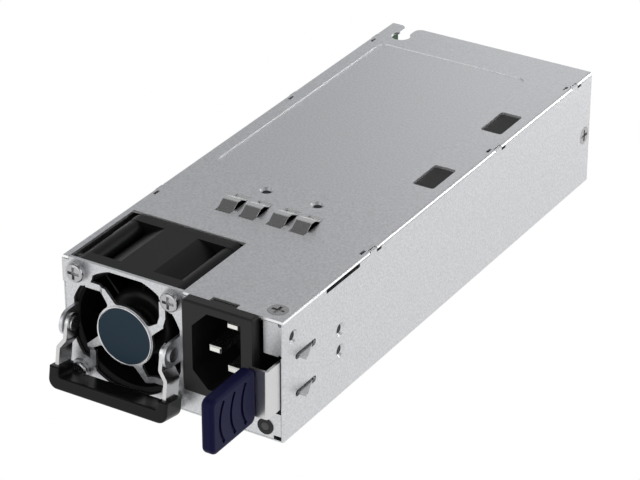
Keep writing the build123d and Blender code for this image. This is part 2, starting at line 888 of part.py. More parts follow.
# The fan's frame: two flanges, a barrel, corner columns, and the motor's base on struts
with BuildPart() as fan_frame:
    for depth, thickness in fan_flanges:
        with BuildSketch(fan_plane.offset(depth)):
            RectangleRounded(fan_size, fan_size, fan_corner_radius)
            Circle(fan_bore_radius, mode=Mode.SUBTRACT)
        extrude(amount=thickness)
    with BuildSketch(fan_plane):
        Circle(fan_barrel_radius)
        Rectangle(fan_size, fan_size, mode=Mode.INTERSECT)
        with GridLocations(fan_pitch, fan_pitch, 2, 2):
            Circle(fan_column_radius)
        Circle(fan_bore_radius, mode=Mode.SUBTRACT)
    extrude(amount=fan_depth)
    with BuildSketch(fan_plane.offset(fan_depth - strut_depth)):
        with PolarLocations((fan_base_radius + fan_bore_radius) / 2, strut_count, start_angle=20):
            Rectangle(fan_bore_radius - fan_base_radius + 1.0, strut_width)
    extrude(amount=strut_depth)
    with BuildSketch(fan_plane.offset(fan_depth - fan_base_thickness)):
        Circle(fan_base_radius)
    extrude(amount=fan_base_thickness)
    with BuildSketch(fan_plane.offset(hub_setback + 5.0)):
        Circle(bearing_radius + bearing_tube_wall)
    extrude(amount=fan_depth - fan_base_thickness - hub_setback - 5.0)
    with BuildSketch(fan_plane.offset(hub_setback + 5.0)):
        Circle(bearing_radius)
    extrude(amount=fan_depth - fan_base_thickness - hub_setback - 5.0, mode=Mode.SUBTRACT)
    with BuildSketch(fan_plane):
        with GridLocations(fan_pitch, fan_pitch, 2, 2):
            Circle(screw_radius + thread_gap)
    extrude(amount=screw_length + 1.0, mode=Mode.SUBTRACT)
    # The rear corners are rounded as seen from above
    with BuildSketch(level(0)):
        with Locations((fan_x, fan_front)):
            Rectangle(fan_size, fan_depth, align=(Align.CENTER, Align.MIN))
        fillet(vertices().group_by(Axis.Y)[-1], fan_rear_round)
    extrude(amount=case_height, mode=Mode.INTERSECT)
    bore_edges = fan_frame.edges().filter_by(GeomType.CIRCLE)
    bore_edges = bore_edges.filter_by(lambda e: abs(e.radius - fan_bore_radius) < 0.01)
    chamfer(bore_edges.group_by(Axis.Y)[0], 0.8)
fan_frame.part.label = "fan_frame"
export_step(fan_frame.part, "parts/fan_frame.step")

tube_front = hub_setback + 5.0
tube_rear = fan_depth - fan_base_thickness
with BuildPart() as fan_bearings:
    for depth in (tube_front, tube_rear - bearing_width):
        with BuildSketch(fan_plane.offset(depth)):
            Circle(bearing_radius)
            Circle(shaft_radius + running_gap, mode=Mode.SUBTRACT)
        extrude(amount=bearing_width)
fan_bearings.part.label = "fan_bearings"
export_step(fan_bearings.part, "parts/fan_bearings.step")

# The stator: a ring with four shoes, and a coil round each neck
stator_radius = hub_radius - hub_wall - magnet_thickness - air_gap
stator_start = hub_setback + 8.0
core_ring = bearing_radius + bearing_tube_wall + 0.6
shoe_inside = stator_radius - 1.6
with BuildPart() as fan_stator_core:
    with BuildSketch(fan_plane.offset(stator_start)):
        Circle(stator_radius)
        Circle(shoe_inside, mode=Mode.SUBTRACT)
        with PolarLocations(stator_radius, 4, start_angle=45):
            Rectangle(4.0, 1.4, mode=Mode.SUBTRACT)
        Circle(core_ring)
        with PolarLocations((core_ring + shoe_inside) / 2, 4):
            Rectangle(shoe_inside - core_ring + 1.0, pole_neck)
        Circle(bearing_radius + bearing_tube_wall, mode=Mode.SUBTRACT)
    extrude(amount=stator_stack)
fan_stator_core.part.label = "fan_stator_core"
export_step(fan_stator_core.part, "parts/fan_stator_core.step")

coil_thickness = shoe_inside - core_ring - 0.7
with BuildPart() as fan_coils:
    with BuildSketch(fan_plane.offset(stator_start - coil_build)):
        with PolarLocations(core_ring + 0.3 + coil_thickness / 2, 4):
            Rectangle(coil_thickness, pole_neck + 2 * coil_build)
    extrude(amount=stator_stack + 2 * coil_build)
    with BuildSketch(fan_plane.offset(stator_start)):
        with PolarLocations(core_ring + 0.3 + coil_thickness / 2, 4):
            Rectangle(coil_thickness + 1.0, pole_neck)
    extrude(amount=stator_stack, mode=Mode.SUBTRACT)
fan_coils.part.label = "fan_coils"
export_step(fan_coils.part, "parts/fan_coils.step")


def blade_section(radius, sweep, thickness):
    """The outline of a blade at one radius, as a cambered strip across the stream."""
    chord = Vector(blade_length, sweep)
    side = Vector(-sweep, blade_length) / chord.length
    nose = chord * -0.5
    tail = chord * 0.5
    with BuildSketch(Plane(origin=(radius, 0, 0), x_dir=(0, 0, 1), z_dir=(1, 0, 0))) as section:
        with BuildLine():
            top = ThreePointArc(
                nose + side * 0.25,
                side * (blade_bulge + thickness / 2),
                tail + side * 0.25,
            )
            end = Line(top @ 1, tail - side * 0.25)
            under = ThreePointArc(end @ 1, side * (blade_bulge - thickness / 2), nose - side * 0.25)
            Line(under @ 1, top @ 0)
        make_face()
    return section.sketch


with BuildPart() as one_blade:
    tip_radius = fan_bore_radius - blade_clearance
    add(blade_section(hub_radius - 0.5, blade_root_sweep, blade_thickness))
    blade_mid_sweep = (blade_root_sweep + blade_tip_sweep) / 2
    add(blade_section((hub_radius + tip_radius) / 2, blade_mid_sweep, blade_thickness))
    add(blade_section(tip_radius + 0.8, blade_tip_sweep, blade_thickness * 0.7))
    loft()
    with BuildSketch(level(-blade_length)):
        Circle(tip_radius)
    extrude(amount=2 * blade_length, mode=Mode.INTERSECT)

# The rotor: a domed cup with swept blades
hub_rear = hub_setback + hub_length
blade_middle = hub_setback + hub_round + blade_length / 2
with BuildPart() as fan_rotor:
    with BuildSketch(Plane(origin=(fan_x, fan_front, fan_z))):
        with BuildLine():
            Polyline(
                (shaft_radius, hub_setback + 0.8),
                (hub_radius, hub_setback + 0.8),
                (hub_radius, hub_rear),
                (hub_radius - hub_wall, hub_rear),
                (hub_radius - hub_wall, hub_setback + 2.4),
                (bearing_radius, hub_setback + 2.4),
                (bearing_radius, tube_front - 0.4),
                (shaft_radius, tube_front - 0.4),
                close=True,
            )
        make_face()
        fillet(vertices().sort_by_distance((hub_radius, hub_setback + 0.8))[0], hub_round)
    revolve(axis=Axis((fan_x, fan_front, fan_z), (0, 1, 0)))
    with BuildSketch(fan_plane.offset(hub_setback)):
        Circle(hub_radius * 0.55)
    extrude(amount=0.8, taper=-35)
    with Locations(fan_plane.offset(blade_middle)):
        with PolarLocations(0, blade_count):
            add(one_blade.part)
    with BuildSketch(fan_plane.offset(hub_setback + 2.4)):
        Circle(hub_radius - hub_wall)
        Circle(bearing_radius, mode=Mode.SUBTRACT)
    extrude(amount=hub_length, mode=Mode.SUBTRACT)
fan_rotor.part.label = "fan_rotor"
export_step(fan_rotor.part, "parts/fan_rotor.step")

with BuildPart() as fan_magnet:
    with BuildSketch(fan_plane.offset(stator_start - 2.0)):
        Circle(hub_radius - hub_wall)
        Circle(hub_radius - hub_wall - magnet_thickness, mode=Mode.SUBTRACT)
    extrude(amount=magnet_length)
fan_magnet.part.label = "fan_magnet"
export_step(fan_magnet.part, "parts/fan_magnet.step")

with BuildPart() as fan_shaft:
    with BuildSketch(fan_plane.offset(hub_setback + 0.8)):
        Circle(shaft_radius)
    extrude(amount=shaft_length)
fan_shaft.part.label = "fan_shaft"
export_step(fan_shaft.part, "parts/fan_shaft.step")

with BuildPart() as fan_screws:
    with Locations(*[forward(x, front, z) for x, z in fan_corners]):
        add(pan_screw(screw_length, True))
fan_screws.part.label = "fan_screws"
export_step(fan_screws.part, "parts/fan_screws.step")

# The handle's bail: one strip bent into a U with jogged arms
arm_middle = ear_inside - arm_gap - arm_thickness / 2
arm_low = arm_middle + arm_spread
bar_middle = grip_reach - grip_bar / 2
with BuildPart() as handle_bail:
    with BuildSketch(handle_face()):
        with BuildLine():
            FilletPolyline(
                (-arm_middle, arm_width / 2),
                (-arm_middle, -arm_jog_top),
                (-arm_low, -arm_jog_bottom),
                (-arm_low, -bar_middle),
                (arm_low, -bar_middle),
                (arm_low, -arm_jog_bottom),
                (arm_middle, -arm_jog_top),
                (arm_middle, arm_width / 2),
                radius=arm_thickness,
            )
        trace(line_width=arm_thickness)
    extrude(amount=arm_width / 2, both=True)
    arm_ends = handle_bail.edges().filter_by(Axis.X).filter_by(lambda e: e.length < 2 * arm_thickness)
    fillet(arm_ends.filter_by(lambda e: e.center().Z > pivot_z), arm_width / 2 - 0.05)
    with BuildSketch(handle_side(fan_x)):
        Circle(pivot_radius + pivot_gap)
    extrude(amount=case_width, both=True, mode=Mode.SUBTRACT)
handle_bail.part.label = "handle_bail"
export_step(handle_bail.part, "parts/handle_bail.step")

# The moulded grip round the bail's cross bar
with BuildPart() as handle_grip:
    with BuildSketch(handle_face().offset(grip_front)):
        with Locations((0, -grip_reach)):
            Rectangle(2 * grip_half_width, grip_end_height, align=(Align.CENTER, Align.MIN))
        fillet(vertices().group_by(Axis.Y)[0], grip_corner)
        with Locations((0, grip_bar - grip_reach)):
            Rectangle(
                2 * (grip_half_width - grip_end_wall),
                grip_end_height,
                align=(Align.CENTER, Align.MIN),
                mode=Mode.SUBTRACT,
            )
        inner = vertices().filter_by(lambda v: abs(v.X) < grip_half_width - grip_end_wall + 0.01)
        fillet(inner.group_by(Axis.Y)[0], 1.0)
    extrude(amount=-grip_depth)
    outline = handle_grip.faces().sort_by(Axis(handle_face().origin, handle_face().z_dir))
    fillet(outline[-1].edges() + outline[0].edges(), grip_edge)
    add(handle_bail.part, mode=Mode.SUBTRACT)
handle_grip.part.label = "handle_grip"
export_step(handle_grip.part, "parts/handle_grip.step")

with BuildPart() as handle_rivets:
    for side in (-1, 1):
        outer = fan_x + side * (ear_inside + front_sheet)
        span = front_sheet + 2 * arm_gap + arm_thickness
        with BuildSketch(handle_side(outer)):
            Circle(pivot_radius)
        extrude(amount=-side * span)
        with BuildSketch(handle_side(outer)):
            Circle(pivot_head_radius)
        extrude(amount=side * pivot_head)
        with BuildSketch(handle_side(outer - side * span)):
            Circle(pivot_head_radius)
        extrude(amount=-side * pivot_head)
handle_rivets.part.label = "handle_rivets"
export_step(handle_rivets.part, "parts/handle_rivets.step")

# The inlet: a bezel in front of the plate, a body behind it and the moulded socket
with BuildPart() as inlet_housing:
    with BuildSketch(facing_front(front)):
        with Locations((bezel_x, bezel_z)):
            RectangleRounded(bezel_width, bezel_height, bezel_corner)
    extrude(amount=bezel_depth)
    chamfer(inlet_housing.edges().group_by(Axis.Y)[0], 0.5)
    with BuildSketch(facing_front(front)):
        with Locations((bezel_x, bezel_z)):
            RectangleRounded(inlet_body_width, inlet_body_height, 0.8)
    extrude(amount=-inlet_body_depth)
    with BuildSketch(facing_side(bezel_x - snap_width / 2)):
        with BuildLine():
            Polyline(
                (front + slip, bezel_z + inlet_body_height / 2 - 0.5),
                (front + slip, case_height - 0.2),
                (front + snap_depth * 0.5, case_height - 0.2),
                (front + snap_depth, case_height - snap_height),
                (front + snap_depth + 3.0, bezel_z + inlet_body_height / 2 - 0.5),
                close=True,
            )
        make_face()
    extrude(amount=snap_width)
    with BuildSketch(facing_front(front - bezel_depth)):
        with Locations((inlet_x, inlet_z)):
            Rectangle(socket_width, socket_height)
        chamfer(vertices().group_by(Axis.X)[0], socket_chamfer)
        fillet(vertices().group_by(Axis.X)[-1], socket_corner)
    extrude(amount=-bezel_depth - socket_depth, mode=Mode.SUBTRACT)
    # Seats for the three pins
    with BuildSketch(facing_front(front + socket_depth)):
        for dx, dz in ((pin_offset, pin_pitch / 2), (pin_offset, -pin_pitch / 2), (-pin_offset, 0)):
            with Locations((inlet_x + dx, inlet_z + dz)):
                Rectangle(pin_width, pin_thickness)
    extrude(amount=-inlet_body_depth, mode=Mode.SUBTRACT)
inlet_housing.part.label = "inlet_housing"
export_step(inlet_housing.part, "parts/inlet_housing.step")

with BuildPart() as inlet_pins:
    for dx, dz, tip in (
        (pin_offset, pin_pitch / 2, pin_set_back),
        (pin_offset, -pin_pitch / 2, pin_set_back),
        (-pin_offset, 0, pin_set_back - earth_longer),
    ):
        with BuildSketch(facing_front(front + tip)):
            with Locations((inlet_x + dx, inlet_z + dz)):
                Rectangle(pin_width, pin_thickness)
        extrude(amount=tip - inlet_body_depth)
        with BuildSketch(facing_front(front + inlet_body_depth)):
            with Locations((inlet_x + dx, inlet_z + dz)):
                Rectangle(pin_width, terminal_thickness)
        extrude(amount=-pin_terminal)
    tips = inlet_pins.faces().filter_by(Axis.Y).sort_by(Axis.Y)[0:3]
    chamfer(tips.edges(), 0.4)
inlet_pins.part.label = "inlet_pins"
export_step(inlet_pins.part, "parts/inlet_pins.step")

# The latch spring: a leaf along the right wall, two teeth and a front flange with a tongue
flange_front = front - leaf_reach
tab_middle = (tab_left + tab_right) / 2
with BuildPart() as latch_spring:
    with BuildSketch(level(leaf_bottom)):
        with BuildLine():
            Polyline(
                (leaf_outside, leaf_y),
                (leaf_outside, flange_front),
                (flange_inside, flange_front),
                (flange_inside, flange_front + leaf_thickness),
                (leaf_inside, flange_front + leaf_thickness),
                (leaf_inside, leaf_y),
                close=True,
            )
        make_face()
        fillet(vertices().sort_by_distance((leaf_outside, flange_front))[0], leaf_thickness)
        with Locations(((leaf_outside + leaf_inside) / 2, leaf_y)):
            Circle(leaf_thickness / 2)
    extrude(amount=leaf_top - leaf_bottom)
    with BuildSketch(facing_side(tab_middle - leaf_thickness / 2)):
        with Locations((flange_front + leaf_thickness, (leaf_bottom + leaf_top) / 2)):
            Rectangle(
                tongue_length + leaf_thickness, tongue_height, align=(Align.MAX, Align.CENTER)
            )
    extrude(amount=leaf_thickness)
    for z in tooth_levels:
        with BuildSketch(level(z - leaf_thickness / 2)):
            with BuildLine():
                Polyline(
                    (leaf_inside, front + tooth_front),
                    (wall_outside + tooth_reach, front + tooth_front),
                    (wall_outside + tooth_reach, front + tooth_front + 0.5),
                    (wall_outside, front + tooth_front + tooth_length),
                    (leaf_inside, front + tooth_front + tooth_length),
                    close=True,
                )
            make_face()
            fillet(vertices().sort_by(Axis.X)[-2:], 0.2)
        extrude(amount=leaf_thickness)
latch_spring.part.label = "latch_spring"
export_step(latch_spring.part, "parts/latch_spring.step")

# The finger tab, moulded on the latch's tongue
with BuildPart() as latch_tab:
    with BuildSketch(facing_side(tab_left)):
        with Locations(((flange_front + front - tab_reach) / 2, (tab_bottom + tab_top) / 2)):
            RectangleRounded(
                tab_reach - leaf_reach, tab_top - tab_bottom, tab_corner
            )
    extrude(amount=tab_right - tab_left)
    sides = latch_tab.faces().filter_by(Axis.X)
    fillet(sides.edges(), tab_edge)
    with BuildSketch(facing_side(tab_right)):
        for n in range(groove_count):
            y = front - tab_reach + groove_inset + n * groove_pitch
            half = groove_height / 2
            middle = (tab_bottom + tab_top) / 2
            with BuildLine():
                ThreePointArc(
                    (y + half * half / (2 * groove_radius), middle - half),
                    (y, middle),
                    (y + half * half / (2 * groove_radius), middle + half),
                )
            trace(line_width=groove_width)
    extrude(amount=-groove_depth, mode=Mode.SUBTRACT)
    add(latch_spring.part, mode=Mode.SUBTRACT)
latch_tab.part.label = "latch_tab"
export_step(latch_tab.part, "parts/latch_tab.step")

# The riveted end of the latch spring
pad_start = leaf_y + leaf_thickness / 2 + pad_gap
with BuildPart() as latch_pad:
    with BuildSketch(facing_side(wall_inside)):
        with Locations((pad_start, (leaf_bottom + leaf_top) / 2)):
            Rectangle(pad_length, leaf_top - leaf_bottom, align=(Align.MIN, Align.CENTER))
        with Locations(*[(front + latch_rivet_y, z) for z in latch_rivet_levels]):
            Circle(rivet_hole_radius, mode=Mode.SUBTRACT)
    extrude(amount=-leaf_thickness - leaf_gap)
latch_pad.part.label = "latch_pad"
export_step(latch_pad.part, "parts/latch_pad.step")

with BuildPart() as latch_rivets:
    with Locations(*[outward(wall_outside, front + latch_rivet_y, z, 1) for z in latch_rivet_levels]):
        add(rivet(leaf_thickness + leaf_gap))
latch_rivets.part.label = "latch_rivets"
export_step(latch_rivets.part, "parts/latch_rivets.step")

# The status lamp
with BuildPart() as lamp_ring:
    with BuildSketch(facing_front(front - 0.3)):
        with Locations((lamp_x, lamp_z)):
            Circle(lamp_radius)
            Circle(lens_radius, mode=Mode.SUBTRACT)
    extrude(amount=-0.3 - front_sheet)
lamp_ring.part.label = "lamp_ring"
export_step(lamp_ring.part, "parts/lamp_ring.step")

with BuildPart() as lamp_lens:
    with BuildSketch(facing_front(front)):
        with Locations((lamp_x, lamp_z)):
            Circle(lens_radius)
    extrude(amount=0.4)
    fillet(lamp_lens.edges().group_by(Axis.Y)[0], 0.35)
    with BuildSketch(facing_front(front)):
        with Locations((lamp_x, lamp_z)):
            Circle(lens_radius)
    extrude(amount=-4.0)
lamp_lens.part.label = "lamp_lens"
export_step(lamp_lens.part, "parts/lamp_lens.step")

# The main board, with its card edge through the rear panel
standoff_places = [(side * x, front + y) for x, y in standoff_rows for side in (-1, 1)]
with BuildPart() as main_board:
    with BuildSketch(level(board_level)):
        with Locations((0, front + board_front)):
            Rectangle(
                board_width,
                case_length - board_front - board_set_back,
                align=(Align.CENTER, Align.MIN),
            )
        with Locations((0, rear + edge_reach)):
            Rectangle(edge_width, edge_reach + board_set_back + 1, align=(Align.CENTER, Align.MAX))
        with Locations(*standoff_places):
            Circle(screw_radius + 0.2, mode=Mode.SUBTRACT)
    extrude(amount=board_thickness)
    chamfer(main_board.edges().group_by(Axis.Y)[-1].filter_by(Axis.X), 0.4)
main_board.part.label = "main_board"
export_step(main_board.part, "parts/main_board.step")

with BuildPart() as edge_contacts:
    for z, up in ((board_top, 1), (board_level, -1)):
        with BuildSketch(level(z)):
            with Locations((0, rear + edge_reach - 0.8 - contact_length / 2)):
                with GridLocations(contact_pitch, 1, contact_count, 1):
                    Rectangle(contact_width, contact_length)
        extrude(amount=up * contact_thickness)
edge_contacts.part.label = "edge_contacts"
export_step(edge_contacts.part, "parts/edge_contacts.step")

with BuildPart() as board_standoffs:
    with BuildSketch(level(sheet)):
        with Locations(*standoff_places):
            Circle(standoff_radius)
            Circle(screw_radius + thread_gap, mode=Mode.SUBTRACT)
    extrude(amount=board_level - sheet)
board_standoffs.part.label = "board_standoffs"
export_step(board_standoffs.part, "parts/board_standoffs.step")

with BuildPart() as board_screws:
    with Locations(*[(x, y, board_top) for x, y in standoff_places]):
        add(pan_screw(board_thickness + 2.6, False))
board_screws.part.label = "board_screws"
export_step(board_screws.part, "parts/board_screws.step")


def ring_core(outside, inside, height):
    """A ring core that lies flat, with its centre at the origin."""
    with BuildPart() as ring:
        with BuildSketch(level(-height / 2)):
            Circle(outside)
            Circle(inside, mode=Mode.SUBTRACT)
        extrude(amount=height)
        chamfer(ring.edges().filter_by(GeomType.CIRCLE), 0.6)
    return ring.part


def ring_winding(outside, inside, height, turns, span):
    """Two groups of turns round a ring core; each group spreads over span degrees."""
    planes = []
    for group in (0, 180):
        for n in range(turns):
            turn = math.radians(group + span * (n / (turns - 1) - 0.5))
            radial = (math.cos(turn), math.sin(turn), 0)
            tangent = (-math.sin(turn), math.cos(turn), 0)
            middle = (outside + inside) / 2
            origin = (radial[0] * middle, radial[1] * middle, 0)
            planes.append(Plane(origin=origin, x_dir=radial, z_dir=tangent))
    with BuildPart() as winding:
        with BuildSketch(*planes):
            room = (outside - inside + 2 * slip, height + 2 * slip)
            RectangleRounded(room[0] + 2 * wire, room[1] + 2 * wire, wire)
            Rectangle(*room, mode=Mode.SUBTRACT)
        extrude(amount=wire / 2, both=True)
    return winding.part


def ring_centre(place, core):
    """The centre of a wound ring that stands on the board."""
    return (place[0], front + place[1], board_top + wire + slip + core[2] / 2)


# The chokes
with BuildPart() as filter_choke_core:
    with Locations(ring_centre(filter_core_place, filter_core)):
        add(ring_core(*filter_core))
filter_choke_core.part.label = "filter_choke_core"
export_step(filter_choke_core.part, "parts/filter_choke_core.step")

with BuildPart() as filter_choke_windings:
    with Locations(ring_centre(filter_core_place, filter_core)):
        add(ring_winding(*filter_core, 8, 140))
filter_choke_windings.part.label = "filter_choke_windings"
export_step(filter_choke_windings.part, "parts/filter_choke_windings.step")

with BuildPart() as boost_choke_core:
    with Locations(ring_centre(boost_core_place, boost_core)):
        add(ring_core(*boost_core))
boost_choke_core.part.label = "boost_choke_core"
export_step(boost_choke_core.part, "parts/boost_choke_core.step")

with BuildPart() as boost_choke_winding:
    with Locations(ring_centre(boost_core_place, boost_core)):
        add(ring_winding(*boost_core, 11, 162))
boost_choke_winding.part.label = "boost_choke_winding"
export_step(boost_choke_winding.part, "parts/boost_choke_winding.step")

with BuildPart() as output_choke_core:
    with Locations(ring_centre(output_core_place, output_core)):
        add(ring_core(*output_core))
output_choke_core.part.label = "output_choke_core"
export_step(output_choke_core.part, "parts/output_choke_core.step")

with BuildPart() as output_choke_winding:
    with Locations(ring_centre(output_core_place, output_core)):
        add(ring_winding(*output_core, 5, 130))
output_choke_winding.part.label = "output_choke_winding"
export_step(output_choke_winding.part, "parts/output_choke_winding.step")

# Line filter parts
with BuildPart() as x_capacitors:
    for (x, y), turned in zip(x_capacitor_places, (False, True)):
        across, along, tall = x_capacitor_size
        if turned:
            across, along = along, across
        with BuildSketch(level(board_top)):
            with Locations((x, front + y)):
                RectangleRounded(across, along, 0.8)
        extrude(amount=tall)
    chamfer(x_capacitors.edges().group_by(Axis.Z)[-1], 0.5)
x_capacitors.part.label = "x_capacitors"
export_step(x_capacitors.part, "parts/x_capacitors.step")

with BuildPart() as y_capacitors:
    for x, y in y_capacitor_places:
        with BuildSketch(facing_front(front + y)):
            with Locations((x, board_top + 6.0)):
                Circle(4.2)
            with Locations((x - 2.5, board_top), (x + 2.5, board_top)):
                Rectangle(0.7, 4.0, align=(Align.CENTER, Align.MIN))
        extrude(amount=-3.0)
y_capacitors.part.label = "y_capacitors"
export_step(y_capacitors.part, "parts/y_capacitors.step")

with BuildPart() as relay:
    with BuildSketch(level(board_top)):
        with Locations((relay_place[0], front + relay_place[1])):
            Rectangle(relay_size[0], relay_size[1])
    extrude(amount=relay_size[2])
    chamfer(relay.edges().group_by(Axis.Z)[-1], 0.6)
relay.part.label = "relay"
export_step(relay.part, "parts/relay.step")

fuse_z = board_top + fuse_radius + 2.0
fuse_start = front + fuse_place[1] - fuse_length / 2
with BuildPart() as fuse:
    with BuildSketch(facing_front(fuse_start)):
        with Locations((fuse_place[0], fuse_z)):
            Circle(fuse_radius)
    extrude(amount=-fuse_length)
fuse.part.label = "fuse"
export_step(fuse.part, "parts/fuse.step")

with BuildPart() as fuse_clips:
    for y in (fuse_start + 0.5, fuse_start + fuse_length - 5.0):
        with BuildSketch(facing_front(y)):
            with Locations((fuse_place[0], board_top)):
                Rectangle(2 * fuse_radius + 1.4, fuse_radius + 3.6, align=(Align.CENTER, Align.MIN))
            with Locations((fuse_place[0], fuse_z)):
                Circle(fuse_radius + 0.05, mode=Mode.SUBTRACT)
        extrude(amount=-4.5)
fuse_clips.part.label = "fuse_clips"
export_step(fuse_clips.part, "parts/fuse_clips.step")

# The bridge rectifier on its heatsink
rectifier_back = rectifier_place[0] - rectifier_size[0] / 2
with BuildPart() as bridge_rectifier:
    with BuildSketch(level(board_top + 4.0)):
        with Locations((rectifier_place[0], front + rectifier_place[1])):
            Rectangle(rectifier_size[0], rectifier_size[1])
    extrude(amount=rectifier_size[2])
    with BuildSketch(level(board_top)):
        with Locations((rectifier_place[0], front + rectifier_place[1])):
            with GridLocations(1, 5.0, 1, 4):
                Rectangle(0.8, 1.2)
    extrude(amount=4.0)
bridge_rectifier.part.label = "bridge_rectifier"
export_step(bridge_rectifier.part, "parts/bridge_rectifier.step")

with BuildPart() as rectifier_heatsink:
    with BuildSketch(level(board_top)):
        with Locations((rectifier_back, front + rectifier_place[1])):
            Rectangle(sink_plate, 26.0, align=(Align.MAX, Align.CENTER))
        with Locations((rectifier_back - sink_plate - fin_reach / 2, front + rectifier_place[1])):
            with GridLocations(1, fin_pitch, 1, 5):
                Rectangle(fin_reach, fin_thickness)
    extrude(amount=sink_height)
rectifier_heatsink.part.label = "rectifier_heatsink"
export_step(rectifier_heatsink.part, "parts/rectifier_heatsink.step")

# The bulk capacitor lies along the case
with BuildPart() as bulk_capacitor:
    with BuildSketch(Plane(origin=(bulk_x, 0, board_top + bulk_radius + 0.1))):
        with BuildLine():
            Polyline(
                (0, front + bulk_start),
                (bulk_radius - 1.0, front + bulk_start),
                (bulk_radius, front + bulk_start + 1.0),
                (bulk_radius, front + bulk_start + 4.0),
                (bulk_radius - 0.8, front + bulk_start + 4.8),
                (bulk_radius, front + bulk_start + 5.6),
                (bulk_radius, front + bulk_start + bulk_length - 1.0),
                (bulk_radius - 1.0, front + bulk_start + bulk_length),
                (0, front + bulk_start + bulk_length),
                close=True,
            )
        make_face()
    revolve(axis=Axis((bulk_x, 0, board_top + bulk_radius + 0.1), (0, 1, 0)))
bulk_capacitor.part.label = "bulk_capacitor"
export_step(bulk_capacitor.part, "parts/bulk_capacitor.step")

# The power transistors stand against their heatsink
transistor_x = transistor_sink_x - transistor_size[0] / 2
with BuildPart() as power_transistors:
    for start in transistor_starts:
        middle = front + start + transistor_size[1] / 2
        with BuildSketch(level(board_top + 4.0)):
            with Locations((transistor_x, middle)):
                Rectangle(transistor_size[0], transistor_size[1])
        extrude(amount=transistor_size[2])
        with BuildSketch(level(board_top)):
            with Locations((transistor_x, middle)):
                with GridLocations(1, 2.54, 1, 3):
                    Rectangle(0.6, 0.9)
        extrude(amount=4.0)
power_transistors.part.label = "power_transistors"
export_step(power_transistors.part, "parts/power_transistors.step")

with BuildPart() as transistor_heatsink:
    with BuildSketch(level(board_top)):
        with Locations((transistor_sink_x, front + transistor_starts[0] - 2.0)):
            Rectangle(sink_plate, 40.0, align=(Align.MIN, Align.MIN))
        with Locations((transistor_sink_x + sink_plate + 1.25, front + transistor_starts[0] + 18.0)):
            with GridLocations(1, fin_pitch, 1, 8):
                Rectangle(2.5, fin_thickness)
    extrude(amount=sink_height)
transistor_heatsink.part.label = "transistor_heatsink"
export_step(transistor_heatsink.part, "parts/transistor_heatsink.step")

# The main transformer
core_middle = board_top + transformer_height / 2
window_height = transformer_height - 8.0
with BuildPart() as transformer_core:
    with BuildSketch(facing_front(front + transformer_place[1] - transformer_depth / 2)):
        with Locations((transformer_place[0], core_middle)):
            Rectangle(transformer_width, transformer_height)
            with GridLocations(core_leg + core_window, 1, 2, 1):
                Rectangle(core_window, window_height, mode=Mode.SUBTRACT)
    extrude(amount=-transformer_depth)
transformer_core.part.label = "transformer_core"
export_step(transformer_core.part, "parts/transformer_core.step")

with BuildPart() as transformer_winding:
    with BuildSketch(level(core_middle - window_height / 2 + slip)):
        with Locations((transformer_place[0], front + transformer_place[1])):
            RectangleRounded(
                core_leg + 2 * winding_build, transformer_depth + 2 * winding_build, 3.0
            )
            Rectangle(core_leg + 2 * slip, transformer_depth + 2 * slip, mode=Mode.SUBTRACT)
    extrude(amount=window_height - 2 * slip)
transformer_winding.part.label = "transformer_winding"
export_step(transformer_winding.part, "parts/transformer_winding.step")

# The output stage
sink_front = front + output_sink_y
with BuildPart() as output_heatsink:
    with BuildSketch(level(board_top)):
        with Locations((0, sink_front)):
            Rectangle(output_sink_width, sink_plate, align=(Align.CENTER, Align.MIN))
        with Locations((0, sink_front + sink_plate + 1.5)):
            with GridLocations(fin_pitch, 1, 10, 1):
                Rectangle(fin_thickness, 3.0)
    extrude(amount=sink_height - 3.0)
output_heatsink.part.label = "output_heatsink"
export_step(output_heatsink.part, "parts/output_heatsink.step")

with BuildPart() as output_rectifiers:
    with BuildSketch(level(board_top + 2.0)):
        with Locations((0, sink_front - output_chip_size[1] / 2)):
            with GridLocations(12.0, 1, 4, 1):
                Rectangle(output_chip_size[0], output_chip_size[1])
    extrude(amount=output_chip_size[2])
    with BuildSketch(level(board_top)):
        with Locations((0, sink_front - output_chip_size[1] / 2)):
            with GridLocations(12.0, 1, 4, 1):
                with GridLocations(3.0, 1, 3, 1):
                    Rectangle(0.9, 0.6)
    extrude(amount=2.0)
output_rectifiers.part.label = "output_rectifiers"
export_step(output_rectifiers.part, "parts/output_rectifiers.step")

with BuildPart() as output_capacitors:
    with BuildSketch(level(board_top)):
        with Locations((output_capacitor_place[0], front + output_capacitor_place[1])):
            with GridLocations(2 * output_capacitor_radius + 1, 2 * output_capacitor_radius + 1, 3, 1):
                Circle(output_capacitor_radius)
    extrude(amount=output_capacitor_height)
    chamfer(output_capacitors.edges().filter_by(GeomType.CIRCLE), 0.5)
output_capacitors.part.label = "output_capacitors"
export_step(output_capacitors.part, "parts/output_capacitors.step")

# The upright control card and its chips
with BuildPart() as control_card:
    with BuildSketch(facing_side(card_x)):
        with Locations((front + card_start, board_top)):
            Rectangle(card_end - card_start, card_top - board_top, align=(Align.MIN, Align.MIN))
    extrude(amount=card_thickness)
control_card.part.label = "control_card"
export_step(control_card.part, "parts/control_card.step")

with BuildPart() as control_chips:
    with BuildSketch(facing_side(card_x + card_thickness)):
        for z in chip_levels:
            with Locations((front + card_start + 9.0, z)):
                Rectangle(chip_size, chip_size)
        with Locations((front + card_end - 11.0, chip_levels[1] - 1.0)):
            Rectangle(chip_size - 2, chip_size + 2)
    extrude(amount=1.0)
control_chips.part.label = "control_chips"
export_step(control_chips.part, "parts/control_chips.step")

